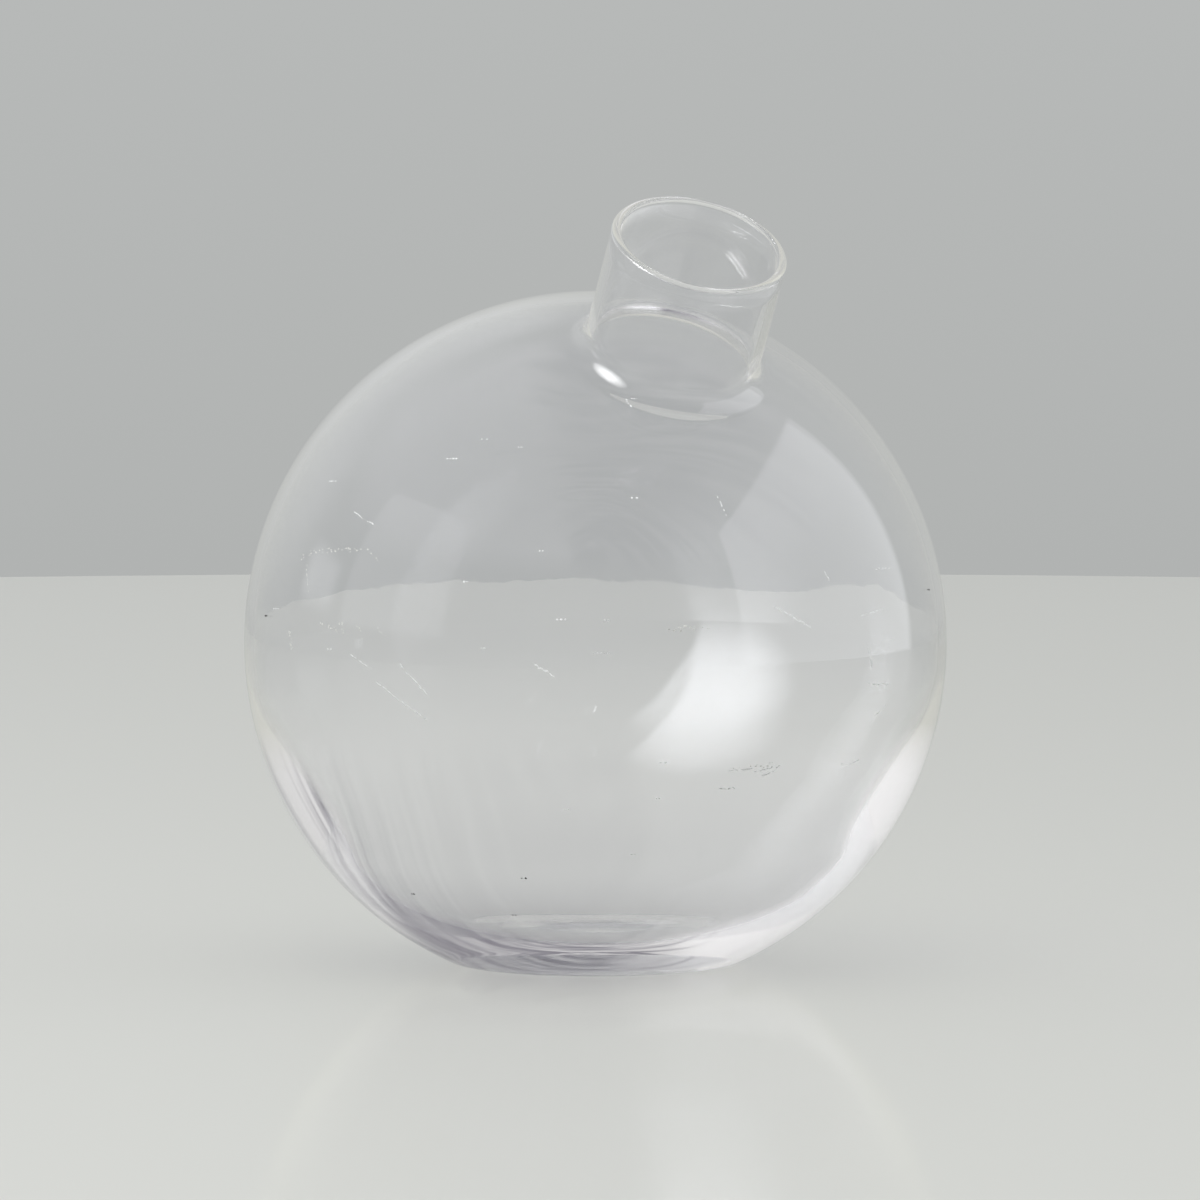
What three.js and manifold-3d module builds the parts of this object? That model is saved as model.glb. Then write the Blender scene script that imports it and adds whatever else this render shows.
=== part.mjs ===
// Bud vase: one body of clear blown glass.
// A globe stands on a flattened foot, and a short straight neck leans out of it towards the front.
// Frame: millimetres, +Z up, origin on the table under the globe's centre, the neck leans towards -Y.

import * as THREE from 'three';
import { mergeVertices } from 'three/addons/utils/BufferGeometryUtils.js';
import Module from 'manifold-3d';

// Globe
const GLOBE_RADIUS = 60;
const GLOBE_WALL = 1.5;
const FOOT_PRESSED = 5; // how far the foot was pressed up into the round globe, to stand flat
const CENTRE_HEIGHT = GLOBE_RADIUS - FOOT_PRESSED; // the globe's centre above the table

// Foot, seen from below: heel, flat standing ring, push-up in the middle
const HEEL_RADIUS = 6; // the glass rolls from the globe over into the standing ring
const STANDING_RING_WIDTH = 4;
const PUSH_UP_HEIGHT = 2; // how far the middle of the foot is pushed up off the table
const PUSH_UP_COVER = 3; // glass over the top of the push-up

// Heavy floor: the hot glass ran down, so the wall swells from thin to heavy below the globe's waist
const HEAVY_WALL = 4; // measured along the globe's radius
const HEAVY_FROM = THREE.MathUtils.degToRad(5); // below the waist, as seen from the globe's centre
const HEAVY_FULL = THREE.MathUtils.degToRad(37);
const FLOOR_GLASS = 3; // the press flattened the floor of the hollow too, this far above the table
const INNER_HEEL_RADIUS = 42; // the hollow rolls gently from its wall over into that floor

// Neck
const NECK_LEAN = THREE.MathUtils.degToRad(30); // off the vertical
const NECK_OUTER_RADIUS = 15;
const NECK_WALL = 1.4;
const NECK_REACH = 81; // from the globe's centre to the top of the lip, along the neck
const ROOT_FILLET = 4; // outside, where the neck flows into the globe
const ROOT_BITE = 0.05; // the root arcs dip this far into the globe, so that they meet it in one clean line
const LIP_RADIUS = 0.8; // fire-polished bead, a little fatter than the wall

// How the tools see a curve: sides round each turned piece and steps along its outline
const GLOBE_SIDES = 56;
const NECK_SIDES = 48;
const GLOBE_STEPS = 26;
const FILLET_STEPS = 5;
const PUSH_UP_STEPS = 5;
const CAVITY_STEPS = 28;
const INNER_HEEL_STEPS = 8;
const FLOOR_STEPS = 3;
const LIP_STEPS = 12;

const wasm = await Module();
wasm.setup();

// Outlines: their points are (distance from the axis, height along the axis) from the globe's centre.

// Points on an arc, from one angle to the other, both ends included
function arc(centre, radius, from, to, steps) {
  const points = [];
  for (let i = 0; i <= steps; i += 1) {
    const angle = from + ((to - from) * i) / steps;
    const x = centre.x + radius * Math.cos(angle);
    const y = centre.y + radius * Math.sin(angle);
    points.push(new THREE.Vector2(x, y));
  }
  return points;
}

// The direction of a point as seen from a centre
function angleFrom(centre, point) {
  return Math.atan2(point.y - centre.y, point.x - centre.x);
}

// Rises softly from 0 to 1 while the value goes from start to end
function ease(value, start, end) {
  const share = THREE.MathUtils.clamp((value - start) / (end - start), 0, 1);
  return (1 - Math.cos(Math.PI * share)) / 2;
}

// A smooth hump: full height on the axis, nothing from the given radius outwards
function hump(distance, radius, height) {
  return height * (1 - ease(distance, 0, radius));
}

// A shallow dome: full height on the axis, and down at the given radius with a crisp edge
function dome(distance, radius, height) {
  return height * (1 - (distance / radius) ** 2);
}

// Turns an outline about +Z. The outline starts and ends on the axis, or closes on itself.
function turned(outline, sides) {
  const geometry = new THREE.LatheGeometry(outline, sides);
  geometry.rotateX(Math.PI / 2);
  return geometry;
}

// A closed geometry as a solid, with its faces outwards whichever way its outline ran
function solid(geometry) {
  const plain = geometry.clone();
  plain.deleteAttribute('normal');
  plain.deleteAttribute('uv');
  const merged = dropSlivers(mergeVertices(plain, 1e-5));
  const vertProperties = Float32Array.from(merged.attributes.position.array);
  const triVerts = Uint32Array.from(merged.index.array);
  if (signedVolume(vertProperties, triVerts) < 0) {
    for (let i = 0; i < triVerts.length; i += 3) {
      [triVerts[i], triVerts[i + 1]] = [triVerts[i + 1], triVerts[i]];
    }
  }
  return new wasm.Manifold(new wasm.Mesh({ numProp: 3, vertProperties, triVerts }));
}

// On the axis a turned outline has triangles with two corners in one place: they go
function dropSlivers(geometry) {
  const source = geometry.index.array;
  const kept = [];
  for (let i = 0; i < source.length; i += 3) {
    const [a, b, c] = [source[i], source[i + 1], source[i + 2]];
    if (a !== b && b !== c && c !== a) {
      kept.push(a, b, c);
    }
  }
  geometry.setIndex(kept);
  return geometry;
}

// Six times the volume inside a mesh, negative when its faces point inwards
function signedVolume(positions, triangles) {
  const [a, b, c] = [new THREE.Vector3(), new THREE.Vector3(), new THREE.Vector3()];
  let sum = 0;
  for (let i = 0; i < triangles.length; i += 3) {
    a.fromArray(positions, 3 * triangles[i]);
    b.fromArray(positions, 3 * triangles[i + 1]);
    c.fromArray(positions, 3 * triangles[i + 2]);
    sum += a.dot(b.cross(c));
  }
  return sum;
}

// A solid back as a geometry that a mesh can carry
function geometryOf(manifold) {
  const mesh = manifold.getMesh();
  const geometry = new THREE.BufferGeometry();
  geometry.setAttribute('position', new THREE.BufferAttribute(mesh.vertProperties, 3));
  geometry.setIndex(new THREE.BufferAttribute(mesh.triVerts, 1));
  geometry.computeVertexNormals();
  return geometry;
}

const GLOBE_CENTRE = new THREE.Vector2(0, 0);
const INNER_RADIUS = GLOBE_RADIUS - GLOBE_WALL;
const BORE_RADIUS = NECK_OUTER_RADIUS - NECK_WALL;
const TABLE = -CENTRE_HEIGHT;

// The heel is an arc that touches the globe from inside and the table from above
const HEEL_CENTRE = new THREE.Vector2(
  Math.sqrt((GLOBE_RADIUS - HEEL_RADIUS) ** 2 - (CENTRE_HEIGHT - HEEL_RADIUS) ** 2),
  TABLE + HEEL_RADIUS,
);
const PUSH_UP_RADIUS = HEEL_CENTRE.x - STANDING_RING_WIDTH;

// The inner heel is an arc that touches the heavy hollow from inside and its pressed floor from above
const HEAVY_HOLLOW_RADIUS = GLOBE_RADIUS - HEAVY_WALL;
const FLOOR = TABLE + FLOOR_GLASS;
const INNER_HEEL_CENTRE = new THREE.Vector2(
  Math.sqrt((HEAVY_HOLLOW_RADIUS - INNER_HEEL_RADIUS) ** 2 - (FLOOR + INNER_HEEL_RADIUS) ** 2),
  FLOOR + INNER_HEEL_RADIUS,
);

// Outside of the globe and foot: pole, globe, heel, flat ring, push-up
function globeOutline() {
  const heelStart = angleFrom(GLOBE_CENTRE, HEEL_CENTRE);
  const outline = arc(GLOBE_CENTRE, GLOBE_RADIUS, Math.PI / 2, heelStart, GLOBE_STEPS);
  outline.push(...arc(HEEL_CENTRE, HEEL_RADIUS, heelStart, -Math.PI / 2, FILLET_STEPS).slice(1));
  for (let i = 0; i <= PUSH_UP_STEPS; i += 1) {
    const distance = PUSH_UP_RADIUS * (1 - i / PUSH_UP_STEPS);
    outline.push(new THREE.Vector2(distance, TABLE + dome(distance, PUSH_UP_RADIUS, PUSH_UP_HEIGHT)));
  }
  outline[0].x = 0;
  return outline;
}

// Glass between the globe's outside and the hollow, at an angle below the waist
function wallAt(angleBelowWaist) {
  return GLOBE_WALL + (HEAVY_WALL - GLOBE_WALL) * ease(angleBelowWaist, HEAVY_FROM, HEAVY_FULL);
}

// Inside of the globe: pole, thin wall, swelling wall, inner heel, pressed floor that rises over the push-up
function cavityOutline() {
  const heelStart = angleFrom(GLOBE_CENTRE, INNER_HEEL_CENTRE);
  const outline = [];
  for (let i = 0; i <= CAVITY_STEPS; i += 1) {
    const angle = THREE.MathUtils.lerp(Math.PI / 2, heelStart, i / CAVITY_STEPS);
    const radius = GLOBE_RADIUS - wallAt(-angle);
    outline.push(new THREE.Vector2(radius * Math.cos(angle), radius * Math.sin(angle)));
  }
  const heel = arc(INNER_HEEL_CENTRE, INNER_HEEL_RADIUS, heelStart, -Math.PI / 2, INNER_HEEL_STEPS);
  outline.push(...heel.slice(1));
  for (let i = 1; i <= FLOOR_STEPS; i += 1) {
    outline.push(new THREE.Vector2(INNER_HEEL_CENTRE.x * (1 - i / FLOOR_STEPS), FLOOR));
  }
  const rise = TABLE + PUSH_UP_HEIGHT + PUSH_UP_COVER - FLOOR;
  for (const point of outline.slice(CAVITY_STEPS)) {
    point.y += hump(point.x, PUSH_UP_RADIUS + PUSH_UP_COVER, rise);
  }
  outline[0].x = 0;
  return outline;
}

// A round plug along the neck: sunk foot, root arc, straight side, flat top.
// The root arc touches the plug's side and, but for the bite, the globe. The outer and the inner plug
// turn about one ring of centres, so the wall keeps its thickness round the turn.
function plugOutline(globeRadius, plugRadius, top) {
  const ringRadius = NECK_OUTER_RADIUS + ROOT_FILLET;
  const rootRadius = ringRadius - plugRadius;
  const rootReach = globeRadius + rootRadius - ROOT_BITE;
  const rootCentre = new THREE.Vector2(ringRadius, Math.sqrt(rootReach ** 2 - ringRadius ** 2));
  const foot = rootCentre.clone().multiplyScalar((globeRadius - ROOT_BITE) / rootReach);
  const sunk = foot.clone().multiplyScalar(1 - GLOBE_WALL / (2 * globeRadius));
  const outline = [new THREE.Vector2(0, sunk.y), sunk];
  outline.push(...arc(rootCentre, rootRadius, angleFrom(rootCentre, GLOBE_CENTRE), -Math.PI, FILLET_STEPS));
  outline.push(new THREE.Vector2(plugRadius, top), new THREE.Vector2(0, top));
  return outline;
}

// The fire-polished lip: a round bead on the middle of the neck's wall
const LIP_CENTRE = new THREE.Vector2(NECK_OUTER_RADIUS - NECK_WALL / 2, NECK_REACH - LIP_RADIUS);

function lipOutline() {
  const outline = arc(LIP_CENTRE, LIP_RADIUS, 0, 2 * Math.PI, LIP_STEPS);
  outline[outline.length - 1].copy(outline[0]);
  return outline;
}

// Turned about the neck's own axis, then leant forward about the globe's centre
function leant(outline) {
  const geometry = turned(outline, NECK_SIDES);
  geometry.rotateX(NECK_LEAN);
  return solid(geometry);
}

// The whole vase: globe and neck filled in, then the hollow and the bore cut away, then the lip
function vesselGeometry() {
  const globe = solid(turned(globeOutline(), GLOBE_SIDES));
  const cavity = solid(turned(cavityOutline(), GLOBE_SIDES));
  const neck = leant(plugOutline(GLOBE_RADIUS, NECK_OUTER_RADIUS, LIP_CENTRE.y));
  const bore = leant(plugOutline(INNER_RADIUS, BORE_RADIUS, NECK_REACH + LIP_RADIUS));
  const lip = leant(lipOutline());
  const vessel = globe.add(neck).subtract(cavity.add(bore)).add(lip);
  return geometryOf(vessel);
}

const clearGlass = new THREE.MeshStandardMaterial({
  color: '#e4e2e6',
  roughness: 0.03,
  metalness: 0,
});
clearGlass.name = 'clear_glass';

const vase = new THREE.Group();
const vessel = new THREE.Mesh(vesselGeometry(), clearGlass);
vessel.name = 'blown_glass_vessel';
vessel.position.z = CENTRE_HEIGHT;
vase.add(vessel);

export default vase;
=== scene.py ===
# %% [markdown]
# # A bud vase of blown glass
#
# The vase is one body of clear soda-lime glass: a globe blown on the pipe, a short neck drawn out of it,
# and a foot pressed flat while the glass was hot. There is no second piece to hide behind, so the whole
# likeness rests on three things: a true and smooth surface, walls of the real thickness, and a room for
# the glass to bend and mirror.
#
# Lengths are in metres, +Z is up, the table is z = 0 and the neck leans towards -Y.

# %% Load the frame and keep its meshes in place
import math

import bmesh
import bpy
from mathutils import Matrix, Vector


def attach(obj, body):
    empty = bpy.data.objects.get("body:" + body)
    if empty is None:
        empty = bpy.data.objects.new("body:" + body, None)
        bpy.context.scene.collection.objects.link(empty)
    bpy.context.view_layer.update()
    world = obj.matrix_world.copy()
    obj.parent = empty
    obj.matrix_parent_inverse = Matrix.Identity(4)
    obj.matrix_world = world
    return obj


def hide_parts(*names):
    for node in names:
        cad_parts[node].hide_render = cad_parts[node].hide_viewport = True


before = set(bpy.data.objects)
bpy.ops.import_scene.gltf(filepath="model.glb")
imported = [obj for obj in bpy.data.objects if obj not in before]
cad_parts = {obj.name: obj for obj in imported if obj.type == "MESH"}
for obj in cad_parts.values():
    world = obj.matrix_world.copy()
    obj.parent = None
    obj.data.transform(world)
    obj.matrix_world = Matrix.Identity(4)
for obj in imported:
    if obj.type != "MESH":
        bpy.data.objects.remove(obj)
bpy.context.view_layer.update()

# %% [markdown]
# ## Sizes
#
# The finished surface repeats the sizes of the solid, because it has to lie in the same place. Each size
# is written once, and the forms are worked out from these. Only the push-up's shift to the front and the
# lean of the heavy glass are new here. The arcs that the floor shows in the photograph suggest both.

# %% Driving sizes
MM = 0.001
GLOBE_RADIUS = 60 * MM
GLOBE_WALL = 1.5 * MM
FOOT_PRESSED = 5 * MM
CENTRE_HEIGHT = GLOBE_RADIUS - FOOT_PRESSED
HEEL_RADIUS = 6 * MM
STANDING_RING_WIDTH = 4 * MM
PUSH_UP_HEIGHT = 2 * MM
PUSH_UP_COVER = 3 * MM
PUSH_UP_FORWARD = 3 * MM
HEAVY_WALL = 4 * MM
HEAVY_FROM = math.radians(5)  # below the waist, where the wall starts to swell
HEAVY_FULL = math.radians(37)  # and where it is at its thickest
FLOOR_GLASS = 3 * MM
INNER_HEEL_RADIUS = 42 * MM
NECK_LEAN = math.radians(30)
NECK_OUTER_RADIUS = 15 * MM
NECK_WALL = 1.4 * MM
NECK_REACH = 81 * MM
ROOT_FILLET = 4 * MM
LIP_RADIUS = 0.8 * MM

HEEL_RING = math.sqrt((GLOBE_RADIUS - HEEL_RADIUS) ** 2 - (CENTRE_HEIGHT - HEEL_RADIUS) ** 2)
PUSH_UP_RADIUS = HEEL_RING - STANDING_RING_WIDTH
POOL_LEAN = math.radians(-1)
POOL_TURN = math.radians(154.3)
POOL_AXIS = (
    math.sin(POOL_LEAN) * -math.cos(POOL_TURN),
    math.sin(POOL_LEAN) * -math.sin(POOL_TURN),
    math.cos(POOL_LEAN),
)
HOLLOW_RADIUS = GLOBE_RADIUS - HEAVY_WALL
HOLLOW_CENTRE_LIFT = CENTRE_HEIGHT - FLOOR_GLASS
INNER_HEEL_RING = math.sqrt(
    (HOLLOW_RADIUS - INNER_HEEL_RADIUS) ** 2 - (HOLLOW_CENTRE_LIFT - INNER_HEEL_RADIUS) ** 2
)
print(f"standing ring from {PUSH_UP_RADIUS / MM:.1f} to {HEEL_RING / MM:.1f} mm from the axis")

# %% [markdown]
# ## The camera
#
# The photograph was taken from far away with a long lens, a little above the foot. The globe's outline
# gives the picture's scale, the ellipse of the lip gives the angle between the view and the neck, and the
# mirror image under the foot gives the camera's height. The camera looks from the left of the vase's front,
# so the neck leans towards the viewer and to the right.

# %% Camera
IMAGE_SIDE = 1200  # pixels, width and height of the photograph
GLOBE_PIXEL = (595.4, 642.0)  # where the globe's centre lies in it
GLOBE_PIXEL_RADIUS = 351.3
CAMERA_DISTANCE = 40 * GLOBE_RADIUS
CAMERA_ELEVATION = math.radians(4.7)
CAMERA_TURN = math.radians(25.7)  # from the vase's front towards its left
SENSOR = 36.0  # millimetres, Blender's usual sensor
FAR_CLIP = 20  # metres, well past the camera's distance

globe_centre = Vector((0, 0, CENTRE_HEIGHT))
to_camera = Vector((
    -math.sin(CAMERA_TURN) * math.cos(CAMERA_ELEVATION),
    -math.cos(CAMERA_TURN) * math.cos(CAMERA_ELEVATION),
    math.sin(CAMERA_ELEVATION),
))
camera_right = Vector((0, 0, 1)).cross(to_camera).normalized()
camera_up = to_camera.cross(camera_right)
focal_pixels = GLOBE_PIXEL_RADIUS * math.sqrt((CAMERA_DISTANCE / GLOBE_RADIUS) ** 2 - 1)
metres_per_pixel = CAMERA_DISTANCE / focal_pixels

camera_data = bpy.data.cameras.new("long_lens")
camera_data.sensor_width = SENSOR
camera_data.lens = focal_pixels * SENSOR / IMAGE_SIDE
camera_data.clip_end = FAR_CLIP
camera = bpy.data.objects.new("camera", camera_data)
bpy.context.collection.objects.link(camera)
bpy.context.scene.camera = camera
camera.location = globe_centre + CAMERA_DISTANCE * to_camera
aim = (
    globe_centre
    + camera_right * (IMAGE_SIDE / 2 - GLOBE_PIXEL[0]) * metres_per_pixel
    + camera_up * (GLOBE_PIXEL[1] - IMAGE_SIDE / 2) * metres_per_pixel
)
camera.rotation_euler = (aim - camera.location).to_track_quat("-Z", "Y").to_euler()
print(f"lens {camera_data.lens:.0f} mm, {metres_per_pixel / MM:.4f} mm for each pixel")

# %% [markdown]
# ## Helpers
#
# Colours are written as the hex values that an eye picks from a screen, and one function turns them to
# the linear values that light works in. Node trees are built by one function too: it adds a node, applies
# its settings, and links or fills its inputs. Two more give a Geometry Nodes tree its named inputs and run
# it on a piece, and the last one makes a vector from its parts in the view.


# %% Helpers
def linear(hex_colour):
    """An sRGB hex colour such as 'b7b9b8' as linear red, green, blue and alpha."""
    channels = [int(hex_colour[i:i + 2], 16) / 255 for i in (0, 2, 4)]
    curve = [c / 12.92 if c <= 0.04045 else ((c + 0.055) / 1.055) ** 2.4 for c in channels]
    return (*curve, 1.0)


MATH, VECTOR_MATH = "ShaderNodeMath", "ShaderNodeVectorMath"
MAP_RANGE, MIX = "ShaderNodeMapRange", "ShaderNodeMix"
FIRST_COLOUR, SECOND_COLOUR, MIXED_COLOUR = 6, 7, 2  # sockets of a Mix node that mixes colours


def add(tree, kind, inputs=None, **settings):
    """Adds a node and gives its outputs. An input takes another node's output or a plain value."""
    node = tree.nodes.new(kind)
    for name, value in settings.items():
        setattr(node, name, value)
    for socket, value in (inputs or {}).items():
        if isinstance(value, bpy.types.NodeSocket):
            tree.links.new(value, node.inputs[socket])
        else:
            node.inputs[socket].default_value = value
    return node.outputs


def named_inputs(tree, kinds):
    """Gives a tree geometry in and out, and one named input for each name and kind."""
    for way in ("INPUT", "OUTPUT"):
        tree.interface.new_socket("Geometry", in_out=way, socket_type="NodeSocketGeometry")
    made = {}
    for name, kind in kinds.items():
        made[name] = tree.interface.new_socket(name, in_out="INPUT", socket_type="NodeSocket" + kind)
    return made


def run_tree(piece, tree, sockets, values):
    """Runs a Geometry Nodes tree on a piece, which keeps the plain mesh that comes out."""
    modifier = piece.modifiers.new(tree.name, "NODES")
    modifier.node_group = tree
    for name, value in values.items():
        modifier[sockets[name].identifier] = value
    evaluated = piece.evaluated_get(bpy.context.evaluated_depsgraph_get())
    mesh = bpy.data.meshes.new_from_object(evaluated)
    piece.modifiers.remove(modifier)
    piece.data = mesh
    mesh.name = piece.name
    return mesh


def in_view(right, up, towards):
    """A vector from its parts to the right, up and towards the camera."""
    return camera_right * right + camera_up * up + to_camera * towards


print("mid grey 808080 is", round(linear("808080")[0], 3), "as linear light")


# %% [markdown]
# ## The outline of the glass
#
# Glass on a pipe is a body of revolution, so it starts as an outline: up the outside of the globe, round
# the root of the neck, up the neck, over the lip, and back down the inside. It is a chain of arcs and
# straight lines. The globe is drawn whole here, with an even wall, because that is how it was blown: the
# lean and the foot come later, as they did in the workshop.


# %% Outline as a chain of points
GLOBE_STEPS = 146
ROOT_STEPS = 14
NECK_STEPS = 6
BEAD_STEPS = 30
OUTLINE_SIDES = 256  # steps round the neck's axis


def arc(centre, radius, start, end, steps):
    """Points on an arc, as (distance from the neck's axis, height along it)."""
    angles = [start + (end - start) * i / steps for i in range(steps + 1)]
    return [(centre[0] + radius * math.cos(a), centre[1] + radius * math.sin(a)) for a in angles]


def half_outline(globe_radius, neck_radius, lip_height):
    """One surface of the glass, from the bottom pole up to the lip."""
    ring = NECK_OUTER_RADIUS + ROOT_FILLET
    fillet = ring - neck_radius
    root = (ring, math.sqrt((globe_radius + fillet) ** 2 - ring ** 2))
    to_root = math.atan2(root[1], root[0])
    points = arc((0, 0), globe_radius, -math.pi / 2, to_root, GLOBE_STEPS)
    points += arc(root, fillet, to_root - math.pi, -math.pi, ROOT_STEPS)[1:]
    straight = lip_height - root[1]
    points += [(neck_radius, root[1] + straight * i / NECK_STEPS) for i in range(1, NECK_STEPS)]
    return points


lip = (NECK_OUTER_RADIUS - NECK_WALL / 2, NECK_REACH - LIP_RADIUS)
lip_meets_wall = math.acos(NECK_WALL / 2 / LIP_RADIUS)
lip_height = lip[1] - LIP_RADIUS * math.sin(lip_meets_wall)
outside = half_outline(GLOBE_RADIUS, NECK_OUTER_RADIUS, lip_height)
bead = arc(lip, LIP_RADIUS, -lip_meets_wall, math.pi + lip_meets_wall, BEAD_STEPS)
inside = half_outline(GLOBE_RADIUS - GLOBE_WALL, NECK_OUTER_RADIUS - NECK_WALL, lip_height)[::-1]
outline = outside + bead + inside
is_inside = [0.0] * (len(outside) + len(bead)) + [1.0] * len(inside)

outline_mesh = bpy.data.meshes.new("glass_outline")
outline_mesh.from_pydata(
    [(max(x, 0), 0, z) for x, z in outline], [(i, i + 1) for i in range(len(outline) - 1)], []
)
outline_mesh.attributes.new("inside", "FLOAT", "POINT").data.foreach_set("value", is_inside)
vessel = bpy.data.objects.new("blown_vessel", outline_mesh)
bpy.context.collection.objects.link(vessel)
print(len(outline), "points on the outline")

# %% [markdown]
# ## Blowing, leaning and pressing
#
# A Geometry Nodes tree takes the outline through the same steps as the workshop does. It spins the
# outline round the neck's axis, leans the body over, lets the hot glass run down so that the wall swells
# below the waist, and presses the foot flat with a push-up near its middle. Last, it adds the slow waves
# that every hand-blown surface has. The rule is written once, and each size stays a named input.

# %% The tree's inputs
tree = bpy.data.node_groups.new("blow_lean_and_press", "GeometryNodeTree")
SIZES = {
    "Lean": NECK_LEAN,
    "Globe Radius": GLOBE_RADIUS,
    "Thin Wall": GLOBE_WALL,
    "Heavy Wall": HEAVY_WALL,
    "Heavy From": HEAVY_FROM,
    "Heavy Full": HEAVY_FULL,
    "Centre Height": CENTRE_HEIGHT,
    "Heel Radius": HEEL_RADIUS,
    "Heel Ring": HEEL_RING,
    "Push-up Radius": PUSH_UP_RADIUS,
    "Push-up Height": PUSH_UP_HEIGHT,
    "Push-up Cover": PUSH_UP_COVER,
    "Floor Glass": FLOOR_GLASS,
    "Inner Heel Radius": INNER_HEEL_RADIUS,
    "Inner Heel Ring": INNER_HEEL_RING,
    "Wave Height": 0.12 * MM,
    "Wave Length": 30 * MM,
}
OTHER_INPUTS = {"Pool Axis": "Vector", "Push-up Centre": "Vector", "Sides": "Int", "Glass": "Material"}
sockets = named_inputs(tree, {**dict.fromkeys(SIZES, "Float"), **OTHER_INPUTS})
given = add(tree, "NodeGroupInput")
print(len(sockets), "named inputs")

# %% Step 1: spin the outline round its axis
rows = add(tree, "GeometryNodeAttributeDomainSize", {"Geometry": given["Geometry"]})["Point Count"]
columns = add(tree, MATH, {0: given["Sides"], 1: 1.0}, operation="ADD")[0]
grid = add(tree, "GeometryNodeMeshGrid", {"Vertices X": rows, "Vertices Y": columns})["Mesh"]
index = add(tree, "GeometryNodeInputIndex")[0]
row_share = add(tree, MATH, {0: index, 1: columns}, operation="DIVIDE")[0]
row = add(tree, MATH, {0: row_share}, operation="FLOOR")[0]
column = add(tree, MATH, {0: index, 1: columns}, operation="MODULO")[0]
turn = add(tree, MATH, {0: column, 1: given["Sides"]}, operation="DIVIDE")[0]
angle = add(tree, MATH, {0: turn, 1: 2 * math.pi}, operation="MULTIPLY")[0]
outline_place = add(
    tree, "GeometryNodeSampleIndex",
    {"Geometry": given["Geometry"], "Value": add(tree, "GeometryNodeInputPosition")[0], "Index": row},
    data_type="FLOAT_VECTOR",
)[0]
inside_mark = add(tree, "GeometryNodeInputNamedAttribute", {"Name": "inside"}, data_type="FLOAT")[0]
inside_row = add(
    tree, "GeometryNodeSampleIndex",
    {"Geometry": given["Geometry"], "Value": inside_mark, "Index": row}, data_type="FLOAT",
)[0]
marked = add(
    tree, "GeometryNodeStoreNamedAttribute",
    {"Geometry": grid, "Name": "inside", "Value": inside_row}, data_type="FLOAT", domain="POINT",
)[0]
spun_place = add(
    tree, "ShaderNodeVectorRotate", {"Vector": outline_place, "Angle": angle}, rotation_type="Z_AXIS",
)[0]
print("spun:", len(tree.nodes), "nodes")

# %% Step 2: lean the body over, the neck towards -Y
leant_place = add(
    tree, "ShaderNodeVectorRotate", {"Vector": spun_place, "Angle": given["Lean"]}, rotation_type="X_AXIS",
)[0]
leant = add(tree, "GeometryNodeSetPosition", {"Geometry": marked, "Position": leant_place})[0]
print("leant:", len(tree.nodes), "nodes")

# %% Step 3: the hot glass runs down, so the wall swells below the waist
place = add(tree, "GeometryNodeInputPosition")[0]
split = add(tree, "ShaderNodeSeparateXYZ", {"Vector": place})
flat_place = add(tree, "ShaderNodeCombineXYZ", {"X": split["X"], "Y": split["Y"]})[0]
distance = add(tree, VECTOR_MATH, {0: flat_place}, operation="LENGTH")["Value"]
from_push_up = add(tree, VECTOR_MATH, {0: flat_place, 1: given["Push-up Centre"]}, operation="SUBTRACT")[0]
push_distance = add(tree, VECTOR_MATH, {0: from_push_up}, operation="LENGTH")["Value"]
outwards = add(tree, VECTOR_MATH, {0: place}, operation="NORMALIZE")[0]
sinking = add(tree, VECTOR_MATH, {0: outwards, 1: given["Pool Axis"]}, operation="DOT_PRODUCT")["Value"]
above_waist = add(tree, MATH, {0: sinking}, operation="ARCSINE")[0]
below_waist = add(tree, MATH, {0: above_waist, 1: -1.0}, operation="MULTIPLY")[0]
swelling = add(
    tree, MAP_RANGE,
    {
        "Value": below_waist, "From Min": given["Heavy From"], "From Max": given["Heavy Full"],
        "To Min": given["Thin Wall"], "To Max": given["Heavy Wall"],
    },
    interpolation_type="SMOOTHSTEP",
)["Result"]
hollow_radius = add(tree, MATH, {0: given["Globe Radius"], 1: swelling}, operation="SUBTRACT")[0]
thin_radius = add(tree, MATH, {0: given["Globe Radius"], 1: given["Thin Wall"]}, operation="SUBTRACT")[0]
shrink = add(tree, MATH, {0: hollow_radius, 1: thin_radius}, operation="DIVIDE")[0]
swollen_place = add(tree, VECTOR_MATH, {0: place, "Scale": shrink}, operation="SCALE")[0]
is_hollow = add(tree, "GeometryNodeInputNamedAttribute", {"Name": "inside"}, data_type="FLOAT")[0]
is_low = add(tree, "FunctionNodeCompare", {0: split["Z"], 1: 0.0}, operation="LESS_THAN")[0]
low_hollow = add(tree, MATH, {0: is_hollow, 1: is_low}, operation="MULTIPLY")[0]
swollen = add(
    tree, "GeometryNodeSetPosition", {"Geometry": leant, "Selection": low_hollow, "Position": swollen_place},
)[0]
print("swollen:", len(tree.nodes), "nodes")


# %% One rule for both heels, inside and outside
def heel_rise(ring, radius):
    """How high a rounded heel rises, by the distance from the upright axis."""
    across = add(tree, MATH, {0: distance, 1: ring}, operation="SUBTRACT")[0]
    past = add(tree, MATH, {0: across, 1: 0.0}, operation="MAXIMUM")[0]
    past_squared = add(tree, MATH, {0: past, 1: past}, operation="MULTIPLY")[0]
    squared = add(tree, MATH, {0: radius, 1: radius}, operation="MULTIPLY")[0]
    left = add(tree, MATH, {0: squared, 1: past_squared}, operation="SUBTRACT")[0]
    drop = add(tree, MATH, {0: left}, operation="SQRT")[0]
    return add(tree, MATH, {0: radius, 1: drop}, operation="SUBTRACT")[0]


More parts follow.
